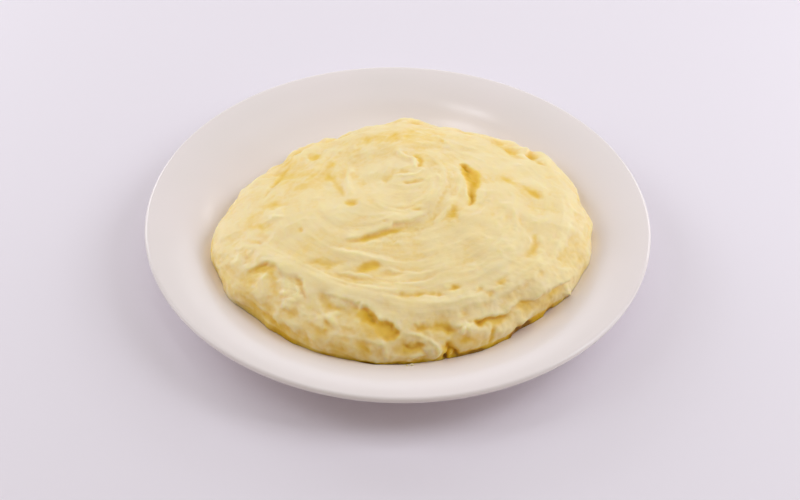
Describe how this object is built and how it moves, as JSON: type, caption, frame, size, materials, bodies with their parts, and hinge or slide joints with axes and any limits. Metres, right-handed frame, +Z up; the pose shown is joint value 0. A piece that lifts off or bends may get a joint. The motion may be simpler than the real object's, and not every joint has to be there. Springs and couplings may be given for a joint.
{
  "type": "mashed potato side",
  "caption": "Low round mound of yellow mashed potato, spread in a loose swirl with torn folds at the front, on a plain white side plate.",
  "frame": {"origin": "on the table, at the centre of the plate's foot", "axes": "+Z up; the flank with the torn folds faces -Y"},
  "size_m": [0.2, 0.2, 0.0319],
  "materials": {
    "porcelain": "smooth white glaze",
    "potato": "soft, moist, spoon-streaked pale yellow"
  },
  "bodies": {
    "root": {"plate": "porcelain", "mashed_potato": "potato"}
  },
  "joints": []
}
